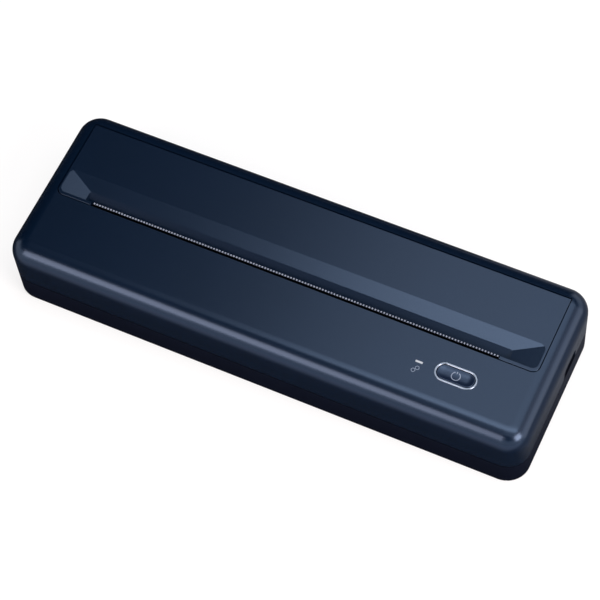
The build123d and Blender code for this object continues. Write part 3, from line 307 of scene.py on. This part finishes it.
# Satin chrome on plastic: a bright metal with a cold cast and a soft edge to its glints.
satin_chrome, shader, place = new_finish("satin_chrome_plate",
                                         Base_Color=colour("#8893A4"), Metallic=1.0)
cloud = add(satin_chrome, "TexNoise", {"Vector": place, "Scale": per_metre(1.5),
                                       "Detail": 3.0})
haze = add(satin_chrome, "MapRange", {"Value": cloud.outputs["Fac"], "To Min": 0.22,
                                      "To Max": 0.36})
join(satin_chrome, haze.outputs["Result"], shader, "Roughness")
dress(satin_chrome, "button_ring")

# Pad-printed ink: flat, pale and a little uneven, as thin as paint. The sign on the cap is a
# ring that is open at the top, with a tick in the gap.
pale_ink, shader, place = new_finish("pad_printed_ink", IOR=1.5, Roughness=0.55)
mottle = add(pale_ink, "TexNoise", {"Vector": place, "Scale": per_metre(0.5),
                                    "Detail": 4.0})
tone = add(pale_ink, "Mix", {"Factor_Float": mottle.outputs["Fac"],
                             "A_Color": colour("#6E7B91"), "B_Color": colour("#808DA3")},
           data_type="RGBA")
join(pale_ink, tone.outputs[2], shader, "Base Color")
ink_thickness = 0.00003


def printed_line(mesh, points, width, surface):
    """Adds a line of ink along points, at the height that the surface has at each."""
    rims = []
    for at, point in enumerate(points):
        before, after = points[max(at - 1, 0)], points[min(at + 1, len(points) - 1)]
        along = (after - before).normalized()
        across = Vector((-along.y, along.x)) * width / 2
        rims.append([mesh.verts.new((edge.x, edge.y, surface(edge) + lift))
                     for lift in (0, ink_thickness)
                     for edge in (point + across, point - across)])
    for rim, later in zip(rims, rims[1:]):
        mesh.faces.new((rim[2], rim[3], later[3], later[2]))
        mesh.faces.new((rim[0], later[0], later[1], rim[1]))
        mesh.faces.new((rim[0], rim[2], later[2], later[0]))
        mesh.faces.new((rim[1], later[1], later[3], rim[3]))
    for end in (rims[0], rims[-1]):
        mesh.faces.new((end[0], end[1], end[3], end[2]))


def printed(name, lines, width, surface, body):
    """Makes a piece of ink from lines on a surface, riding on a body."""
    mesh = bmesh.new()
    for points in lines:
        printed_line(mesh, points, width, surface)
    bmesh.ops.recalc_face_normals(mesh, faces=mesh.faces)
    data = bpy.data.meshes.new(name)
    mesh.to_mesh(data)
    mesh.free()
    data.materials.append(pale_ink)
    piece = bpy.data.objects.new(name, data)
    bpy.context.scene.collection.objects.link(piece)
    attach(piece, body)


def arc(centre, radius, start, turn, steps=28):
    """Points round an arc, with its angles in degrees."""
    angles = [math.radians(start + turn * step / steps) for step in range(steps + 1)]
    return [centre + radius * Vector((math.cos(angle), math.sin(angle))) for angle in angles]


sign_radius = 0.0021
sign_line = 0.0004
sign_gap = 50
power_ring = arc(cap_centre, sign_radius, 90 + sign_gap / 2, 360 - sign_gap)
power_tick = [cap_centre + Vector((0, reach * sign_radius)) for reach in (0.65, 0.9, 1.15)]
printed("power_sign", [power_ring, power_tick], sign_line,
        lambda point: dish_height(abs(point.y - cap_centre.y)), "button")

# Status light: a clear bar moulded in acrylic and set in the hood from below, over a small
# lamp on the board. It is unlit, and shows pale and slightly milky against the dark hood.
acrylic, shader, place = new_finish("clear_acrylic", IOR=1.49, Roughness=0.2,
                                    Transmission_Weight=0.35)
haze = add(acrylic, "TexNoise", {"Vector": place, "Scale": per_metre(0.8), "Detail": 2.0})
tone = add(acrylic, "Mix", {"Factor_Float": haze.outputs["Fac"],
                            "A_Color": colour("#BAC5D3"), "B_Color": colour("#D3DBE5")},
           data_type="RGBA")
join(acrylic, tone.outputs[2], shader, "Base Color")
dress(acrylic, "light_pipe")

# Lamp: a white body under a yellow phosphor, cast in clear resin and soldered to the board
# below the bar.
lamp_resin, shader, place = new_finish("lamp_resin", IOR=1.5, Roughness=0.4)
phosphor = add(lamp_resin, "TexNoise", {"Vector": place, "Scale": per_metre(0.4)})
tone = add(lamp_resin, "Mix", {"Factor_Float": phosphor.outputs["Fac"],
                               "A_Color": colour("#DDD8C6"), "B_Color": colour("#E6DC9C")},
           data_type="RGBA")
join(lamp_resin, tone.outputs[2], shader, "Base Color")
dress(lamp_resin, "status_lamp")

# Link sign: two small linked rings, pad printed on the hood in front of the status light with
# the ink of the power sign.
hood_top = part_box("upper_shell")[1].z
link_centre = Vector((0.0736, -0.02595))
link_radius = 0.0009
link_line = 0.00024
link_half_pitch = 0.0011
link_lean = math.radians(50)
link_reach = Vector((math.cos(link_lean), math.sin(link_lean))) * link_half_pitch
links = [arc(link_centre + side * link_reach, link_radius, 0, 360) for side in (-1, 1)]
printed("link_sign", links, link_line, lambda point: hood_top, "casing")

# Boards: epoxy glass under a green solder mask. The main one is screwed up under the hood, and
# the socket's own stands on the base. The mask is glossy, and the copper tracks show through
# it as lighter lines.
track_mm = 1.6
solder_mask, shader, place = new_finish("green_solder_mask", IOR=1.5, Roughness=0.28)
weave = add(solder_mask, "TexVoronoi", {"Vector": place, "Scale": per_metre(track_mm)},
            feature="DISTANCE_TO_EDGE", distance="MANHATTAN")
track = add(solder_mask, "MapRange", {"Value": weave.outputs["Distance"], "From Min": 0.06,
                                      "From Max": 0.1})
tone = add(solder_mask, "Mix", {"Factor_Float": track.outputs["Result"],
                                "A_Color": colour("#1E7A50"), "B_Color": colour("#0C4C30")},
           data_type="RGBA")
join(solder_mask, tone.outputs[2], shader, "Base Color")
dress(solder_mask, "main_board", "socket_board")

# Processor, ribbon socket, switches and paper sensor: moulded in black epoxy, on the board,
# the frame or beside the path of the paper. They are dead matt, with a fine tooth.
chip_epoxy, shader, place = new_finish("moulded_epoxy", IOR=1.55, Roughness=0.62)
tooth = add(chip_epoxy, "TexNoise", {"Vector": place, "Scale": per_metre(0.2),
                                     "Detail": 4.0})
tone = add(chip_epoxy, "Mix", {"Factor_Float": tooth.outputs["Fac"],
                               "A_Color": colour("#171719"), "B_Color": colour("#242427")},
           data_type="RGBA")
bump = add(chip_epoxy, "Bump", {"Height": tooth.outputs["Fac"], "Strength": 0.2,
                                "Distance": 0.00003})
join(chip_epoxy, tone.outputs[2], shader, "Base Color")
join(chip_epoxy, bump.outputs["Normal"], shader, "Normal")
dress(chip_epoxy, "processor_chip", "ribbon_socket", "power_switch", "lid_switch",
      "paper_sensor")

# Radio module: a small board under a pressed steel can, which is tin plated and soldered
# down. The plate is bright, with faint crystals.
tin_plate, shader, place = new_finish("tin_plate", Metallic=1.0, Roughness=0.3)
spangle = add(tin_plate, "TexVoronoi", {"Vector": place, "Scale": per_metre(2.2)})
tone = add(tin_plate, "Mix", {"Factor_Float": spangle.outputs["Distance"],
                              "A_Color": colour("#B6B6B5"), "B_Color": colour("#CFCFCC")},
           data_type="RGBA")
join(tin_plate, tone.outputs[2], shader, "Base Color")
dress(tin_plate, "radio_module")

# Battery: two round cells in one shrink sleeve of blue PVC film, drawn tight and glossy, laid
# in a cradle of the base. Faint rings round the cells are where the sleeve shrank.


def bands_per_metre(pitch_mm):
    """The scale that repeats a wave texture at this pitch, as it turns 20 radians in a unit."""
    return per_metre(pitch_mm) * 2 * math.pi / 20


pvc_film, shader, place = new_finish("shrunk_pvc_film", IOR=1.53, Roughness=0.24)
rings = add(pvc_film, "TexWave", {"Vector": place, "Scale": bands_per_metre(18.0),
                                  "Distortion": 3.0, "Detail": 2.0}, bands_direction="X")
bump = add(pvc_film, "Bump", {"Height": rings.outputs["Fac"], "Strength": 0.2,
                              "Distance": 0.0001})
tone = add(pvc_film, "Mix", {"Factor_Float": rings.outputs["Fac"],
                             "A_Color": colour("#1C4A88"), "B_Color": colour("#235698")},
           data_type="RGBA")
join(pvc_film, tone.outputs[2], shader, "Base Color")
join(pvc_film, bump.outputs["Normal"], shader, "Normal")
dress(pvc_film, "battery_pack")

# Charging socket and motor: the socket is a shell round a tongue, set back in the right end,
# and the motor a can that is screwed to the frame. Both are drawn from stainless steel, which
# leaves fine lines along them.
drawn_steel, shader, place = new_finish("drawn_stainless", Base_Color=colour("#B4B6BA"),
                                        Metallic=1.0)
draw_lines = add(drawn_steel, "Mapping", {"Vector": place, "Scale": (0.08, 1.0, 1.0)})
lines = add(drawn_steel, "TexNoise", {"Vector": draw_lines.outputs["Vector"],
                                      "Scale": per_metre(0.25), "Detail": 2.0})
dull = add(drawn_steel, "MapRange", {"Value": lines.outputs["Fac"], "To Min": 0.26,
                                     "To Max": 0.44})
join(drawn_steel, dull.outputs["Result"], shader, "Roughness")
dress(drawn_steel, "usb_socket", "motor")

# Print frame: one sheet of galvanised steel, pierced, bent and screwed to the base. Its
# hot-dip zinc has broad crystals of slightly different grey, each catching the light in its
# own way.
spangle_mm = 5.0
galvanised, shader, place = new_finish("galvanised_sheet", Metallic=1.0)
crystal = add(galvanised, "TexVoronoi", {"Vector": place, "Scale": per_metre(spangle_mm)})
grey = add(galvanised, "RGBToBW", {"Color": crystal.outputs["Color"]})
tone = add(galvanised, "Mix", {"Factor_Float": grey.outputs["Val"],
                               "A_Color": colour("#9BA0A6"), "B_Color": colour("#B7BABD")},
           data_type="RGBA")
dull = add(galvanised, "MapRange", {"Value": grey.outputs["Val"], "To Min": 0.3,
                                    "To Max": 0.5})
join(galvanised, tone.outputs[2], shader, "Base Color")
join(galvanised, dull.outputs["Result"], shader, "Roughness")
dress(galvanised, "print_frame")

# Shafts, gear posts and head springs: steel rod, ground to size, and spring strip. They are
# oiled and bright, with fine lines round the rods.
ground_rod, shader, place = new_finish("ground_steel_rod", Base_Color=colour("#BFC1C5"),
                                       Metallic=1.0)
turning = add(ground_rod, "Mapping", {"Vector": place, "Scale": (1.0, 0.05, 0.05)})
lines = add(ground_rod, "TexNoise", {"Vector": turning.outputs["Vector"],
                                     "Scale": per_metre(0.15), "Detail": 2.0})
keen = add(ground_rod, "MapRange", {"Value": lines.outputs["Fac"], "To Min": 0.16,
                                    "To Max": 0.32})
join(ground_rod, keen.outputs["Result"], shader, "Roughness")
dress(ground_rod, "platen_shaft", "gear_posts", "motor_shaft", "head_springs")

# Hinge pins: two short steel pins pressed into the lid, which turn in the end ribs of the
# hood. They are coloured near black as painted shade of the gap beside the lid, so that they
# don't glint through it.
pin_dark_steel, shader, place = new_finish("pin_steel_painted_shade", Metallic=1.0, Roughness=0.6)
pin_mottle = add(pin_dark_steel, "TexNoise", {"Vector": place, "Scale": per_metre(0.1),
                                       "Detail": 3.0})
# Painted shade: the pins are near black, for the shade of the gap that they sit in.
tone = add(pin_dark_steel, "Mix", {"Factor_Float": pin_mottle.outputs["Fac"],
                              "A_Color": colour("#1E2023"), "B_Color": colour("#2C2E31")},
           data_type="RGBA")
join(pin_dark_steel, tone.outputs[2], shader, "Base Color")
dress(pin_dark_steel, "hinge_pins")

# Gears, bushes and plunger: moulded in acetal, which runs on steel without oil. It is a waxy
# off-white that light enters a little.
acetal, shader, place = new_finish("moulded_acetal", IOR=1.48, Roughness=0.38,
                                   Subsurface_Weight=0.15, Subsurface_Scale=0.001)
flow = add(acetal, "TexNoise", {"Vector": place, "Scale": per_metre(6.0), "Detail": 3.0})
tone = add(acetal, "Mix", {"Factor_Float": flow.outputs["Fac"],
                           "A_Color": colour("#D4D2C8"), "B_Color": colour("#E4E3DB")},
           data_type="RGBA")
join(acetal, tone.outputs[2], shader, "Base Color")
dress(acetal, "platen_bushes", "platen_gear", "idler_gear", "reduction_gear",
      "switch_plunger")

# Pinion: turned and cut from brass rod, and pressed on the motor's shaft. Fine tool marks
# run round its axis.
brass, shader, place = new_finish("turned_brass", Base_Color=colour("#D9B15E"), Metallic=1.0)
marks = add(brass, "TexWave", {"Vector": place, "Scale": bands_per_metre(0.8),
                               "Distortion": 0.6}, bands_direction="X")
keen = add(brass, "MapRange", {"Value": marks.outputs["Fac"], "To Min": 0.2,
                               "To Max": 0.36})
join(brass, keen.outputs["Result"], shader, "Roughness")
dress(brass, "motor_pinion")

# Platen: a sleeve of silicone rubber, moulded on its shaft and ground to size. The grinding
# leaves it matt, with a velvety bloom.
platen_rubber, shader, place = new_finish("ground_silicone_rubber", IOR=1.43, Roughness=0.7,
                                          Sheen_Weight=0.15)
nap = add(platen_rubber, "TexNoise", {"Vector": place, "Scale": per_metre(0.25),
                                      "Detail": 3.0})
bump = add(platen_rubber, "Bump", {"Height": nap.outputs["Fac"], "Strength": 0.2,
                                   "Distance": 0.00003})
tone = add(platen_rubber, "Mix", {"Factor_Float": nap.outputs["Fac"],
                                  "A_Color": colour("#26282C"), "B_Color": colour("#313338")},
           data_type="RGBA")
join(platen_rubber, tone.outputs[2], shader, "Base Color")
join(platen_rubber, bump.outputs["Normal"], shader, "Normal")
dress(platen_rubber, "platen_roller")

# Print head: a ceramic strip that carries the heaters, bonded to an aluminium bar, which takes
# their heat and rocks on the frame. The strip's glaze is brown and glassy, slightly uneven in
# depth.
glaze, shader, place = new_finish("glazed_ceramic", IOR=1.6, Roughness=0.12)
depth = add(glaze, "TexNoise", {"Vector": place, "Scale": per_metre(7.0), "Detail": 2.0})
tone = add(glaze, "Mix", {"Factor_Float": depth.outputs["Fac"],
                          "A_Color": colour("#62564B"), "B_Color": colour("#7D6F61")},
           data_type="RGBA")
join(glaze, tone.outputs[2], shader, "Base Color")
dress(glaze, "print_head")

# Extruded aluminium: pale, with fine die lines along the bar.
aluminium, shader, place = new_finish("extruded_aluminium", Base_Color=colour("#C9CBCE"),
                                      Metallic=1.0)
die = add(aluminium, "Mapping", {"Vector": place, "Scale": (0.02, 1.0, 1.0)})
lines = add(aluminium, "TexNoise", {"Vector": die.outputs["Vector"],
                                    "Scale": per_metre(0.3), "Detail": 3.0})
dull = add(aluminium, "MapRange", {"Value": lines.outputs["Fac"], "To Min": 0.3,
                                   "To Max": 0.48})
join(aluminium, dull.outputs["Result"], shader, "Roughness")
dress(aluminium, "heat_sink")

# Head ribbon: copper tracks between two polyester films, from the head to its socket on the
# board. The tracks show as amber stripes.
track_pitch_mm = 1.0
ribbon_film, shader, place = new_finish("polyester_ribbon", IOR=1.6, Roughness=0.34)
tracks = add(ribbon_film, "TexWave",
             {"Vector": place, "Scale": bands_per_metre(track_pitch_mm)}, bands_direction="X")
tone = add(ribbon_film, "Mix", {"Factor_Float": tracks.outputs["Fac"],
                                "A_Color": colour("#D8CBA6"), "B_Color": colour("#A9834A")},
           data_type="RGBA")
join(ribbon_film, tone.outputs[2], shader, "Base Color")
dress(ribbon_film, "head_ribbon")

# Paper tray: a cradle for a small roll, moulded in black ABS with a coarser grain than the
# base, which it stands on.
tray_abs, shader, place = new_finish("grained_black_abs", IOR=1.53, Roughness=0.5)
grain = add(tray_abs, "TexNoise", {"Vector": place, "Scale": per_metre(0.6), "Detail": 3.0})
bump = add(tray_abs, "Bump", {"Height": grain.outputs["Fac"], "Strength": 0.25,
                              "Distance": 0.00005})
tone = add(tray_abs, "Mix", {"Factor_Float": grain.outputs["Fac"],
                             "A_Color": colour("#151619"), "B_Color": colour("#1F2024")},
           data_type="RGBA")
join(tray_abs, tone.outputs[2], shader, "Base Color")
join(tray_abs, bump.outputs["Normal"], shader, "Normal")
dress(tray_abs, "paper_tray")

# Studio: a white table under soft lights, seen from where the photograph was taken. Its
# sheets are stage, so they aren't part of the object.


def softbox(name, place, aim, width, depth, power, tint=(1, 1, 1)):
    """Hangs a rectangular soft light that faces its aim."""
    data = bpy.data.lights.new(name, "AREA")
    data.color = tint
    data.shape = "RECTANGLE"
    data.size, data.size_y, data.energy = width, depth, power
    light = bpy.data.objects.new(name, data)
    bpy.context.scene.collection.objects.link(light)
    light.location = place
    light.rotation_euler = (Vector(aim) - Vector(place)).to_track_quat("-Z", "Y").to_euler()


def round_sheet(name, finish, radius, height):
    """A round flat sheet of the studio, facing up."""
    mesh = bmesh.new()
    bmesh.ops.create_circle(mesh, cap_ends=True, segments=96, radius=radius)
    data = bpy.data.meshes.new(name)
    mesh.to_mesh(data)
    mesh.free()
    data.materials.append(finish)
    piece = bpy.data.objects.new(name, data)
    bpy.context.scene.collection.objects.link(piece)
    piece.location.z = height
    return piece


def shown(finish):
    """1 for the rays that show the background, by sight, mirrored or through glass."""
    rays = add(finish, "LightPath").outputs
    seen = add(finish, "Math", {"Value": rays["Is Camera Ray"],
                                "Value_001": rays["Is Glossy Ray"]}, operation="MAXIMUM")
    seen = add(finish, "Math", {"Value": seen.outputs["Value"],
                                "Value_001": rays["Is Transmission Ray"]},
               operation="MAXIMUM")
    return seen.outputs["Value"]


# White paper: matt, and whiter with distance, so that the background is even while the
# printer keeps its shadow. From below it isn't shown, so that the base can be seen.
shadow_reach = 0.15
even_reach = 1.2
white_paper, shader, place = new_finish("white_paper", Base_Color=(0.95, 0.97, 1, 1),
                                        Roughness=0.9, Specular_IOR_Level=0.0)
away = add(white_paper, "VectorMath", {"Vector": place}, operation="LENGTH")
share = add(white_paper, "MapRange", {"Value": away.outputs["Value"],
                                      "From Min": shadow_reach, "From Max": even_reach,
                                      "To Min": 0.72, "To Max": 1.0})
glow = add(white_paper, "Math", {"Value": share.outputs["Result"],
                                 "Value_001": shown(white_paper)}, operation="MULTIPLY")
white = add(white_paper, "Emission", {"Strength": 1.0})
paper = add(white_paper, "MixShader", {"Fac": glow.outputs["Value"],
                                       "Shader": shader.outputs["BSDF"],
                                       "Shader_001": white.outputs["Emission"]})
below = add(white_paper, "NewGeometry").outputs["Backfacing"]
clear = add(white_paper, "BsdfTransparent")
surface = add(white_paper, "MixShader", {"Fac": below, "Shader": paper.outputs["Shader"],
                                         "Shader_001": clear.outputs["BSDF"]})
white_paper.node_tree.links.new(
    surface.outputs["Shader"],
    white_paper.node_tree.nodes["Material Output"].inputs["Surface"])
round_sheet("table", white_paper, radius=6.0, height=0.0)

# Cloths: a black ceiling, a black curtain behind the left, and a mat under the printer that
# pales to the front and the right. They show only in what the printer mirrors: they keep the
# left of the lid, the far edges and the foot of the front dark, and lighten the right end.
curtain_distance = 2.0
curtain_turn = math.radians(40)
mat_black = 0.03
mat_front_grey = 0.7
mat_front_from, mat_front_to = -0.07, -0.14
mat_side_grey = 0.2
mat_side_from, mat_side_to = 0.12, 0.15
mat_side_slant = 0.5
black_cloth = new_finish("black_cloth", Base_Color=(0.01, 0.01, 0.01, 1), Roughness=1.0,
                         Specular_IOR_Level=0.0)[0]
grey_cloth, shader, place = new_finish("grey_cloth", Roughness=1.0, Specular_IOR_Level=0.0)
spot = add(grey_cloth, "SeparateXYZ", {"Vector": place}).outputs
front = add(grey_cloth, "MapRange", {"Value": spot["Y"], "From Min": mat_front_from,
                                     "From Max": mat_front_to, "To Min": mat_black,
                                     "To Max": mat_front_grey})
slant = add(grey_cloth, "Math", {"Value": spot["Y"], "Value_001": mat_side_slant,
                                 "Value_002": spot["X"]}, operation="MULTIPLY_ADD")
side = add(grey_cloth, "MapRange", {"Value": slant.outputs["Value"],
                                    "From Min": mat_side_from, "From Max": mat_side_to,
                                    "To Min": mat_black, "To Max": mat_side_grey})
shade = add(grey_cloth, "Math", {"Value": front.outputs["Result"],
                                 "Value_001": side.outputs["Result"]}, operation="MAXIMUM")
tone = add(grey_cloth, "Mix", {"Factor_Float": shade.outputs["Value"],
                               "A_Color": (0, 0, 0, 1), "B_Color": (0.84, 0.9, 1, 1)},
           data_type="RGBA")
join(grey_cloth, tone.outputs[2], shader, "Base Color")
ceiling = round_sheet("ceiling", black_cloth, radius=4.0, height=2.2)
mat = round_sheet("mat", grey_cloth, radius=1.9, height=0.0001)
curtain = round_sheet("curtain", black_cloth, radius=2.0, height=0.3)
curtain.location.x = -curtain_distance * math.sin(curtain_turn)
curtain.location.y = curtain_distance * math.cos(curtain_turn)
curtain.rotation_euler = (math.radians(90), 0, curtain_turn)
for cloth in (ceiling, mat, curtain):
    cloth.visible_camera = False
    cloth.visible_diffuse = False
    cloth.visible_shadow = False
    cloth.visible_transmission = False

# Air of the room: a weak even light on the printer, and white wherever it is seen.
world = bpy.data.worlds.new("studio")
bpy.context.scene.world = world
world.use_nodes = True
air = world.node_tree.nodes["Background"]
air.inputs["Color"].default_value = (1, 1, 1, 1)
air.inputs["Strength"].default_value = 0.2
white_air = add(world, "Background", {"Color": (1, 1, 1, 1), "Strength": 1.0})
seen = add(world, "MixShader", {"Fac": shown(world), "Shader": air.outputs["Background"],
                                "Shader_001": white_air.outputs["Background"]})
world.node_tree.links.new(seen.outputs["Shader"],
                          world.node_tree.nodes["World Output"].inputs["Surface"])

# Lights, placed for what mirrors them in the photographed view: the flat top the first, the
# sloping band the second, the steep face the next two, and then the rolled front, the right
# end and the front right corner one each.
softbox("key_back", (0.33, 0.75, 1.5), (0.33, 0.75, 0), width=1.44, depth=0.9, power=7.5)
softbox("key_above", (0.36, 0.05, 1.5), (0.36, 0.05, 0), width=1.4, depth=0.5, power=9.3)
softbox("fill_above", (0.43, -0.37, 1.45), (0.43, -0.37, 0), width=1.24, depth=0.34, power=1.0)
softbox("fill_right", (0.45, -0.72, 1.45), (0.45, -0.72, 0), width=1.2, depth=0.36, power=1.25)
softbox("bank_front", (-0.5, -1.24, 0.95), (-0.05, 0, 0), width=1.05, depth=0.75, power=13.5,
        tint=(1, 0.84, 0.78))
softbox("wash_right", (1.25, 0.35, 0.62), (0.1, 0, 0), width=0.9, depth=1.3, power=4.0,
        tint=(1, 0.86, 0.8))
softbox("glint_corner", (1.4, -0.45, 0.92), (0.13, 0, 0), width=0.76, depth=0.76, power=21,
        tint=(1, 0.88, 0.84))

# Camera: its place and lens were fitted to the casing's outline in the photograph, and its
# shift sets the printer where it is in the frame.
camera_azimuth = math.radians(30.782)
camera_elevation = math.radians(60.771)
camera_roll = math.radians(-6.602)
camera_distance = 1.0819
camera_aim = Vector((0, 0, 0.0008))
camera_lens = 132.5
back = Vector((math.sin(camera_azimuth) * math.cos(camera_elevation),
               -math.cos(camera_azimuth) * math.cos(camera_elevation),
               math.sin(camera_elevation)))
level = (-back).cross(Vector((0, 0, 1))).normalized()
upright = level.cross(-back)
right = math.cos(camera_roll) * level + math.sin(camera_roll) * upright
up = math.cos(camera_roll) * upright - math.sin(camera_roll) * level
camera_data = bpy.data.cameras.new("camera")
camera_data.lens = camera_lens
camera_data.shift_x = 0.0012
camera_data.shift_y = 0.0170
camera = bpy.data.objects.new("camera", camera_data)
bpy.context.scene.collection.objects.link(camera)
camera.matrix_world = (Matrix.Translation(camera_aim + back * camera_distance)
                       @ Matrix((right, up, back)).transposed().to_4x4())
bpy.context.scene.camera = camera
bpy.context.scene.view_settings.view_transform = "Standard"

bpy.context.view_layer.update()
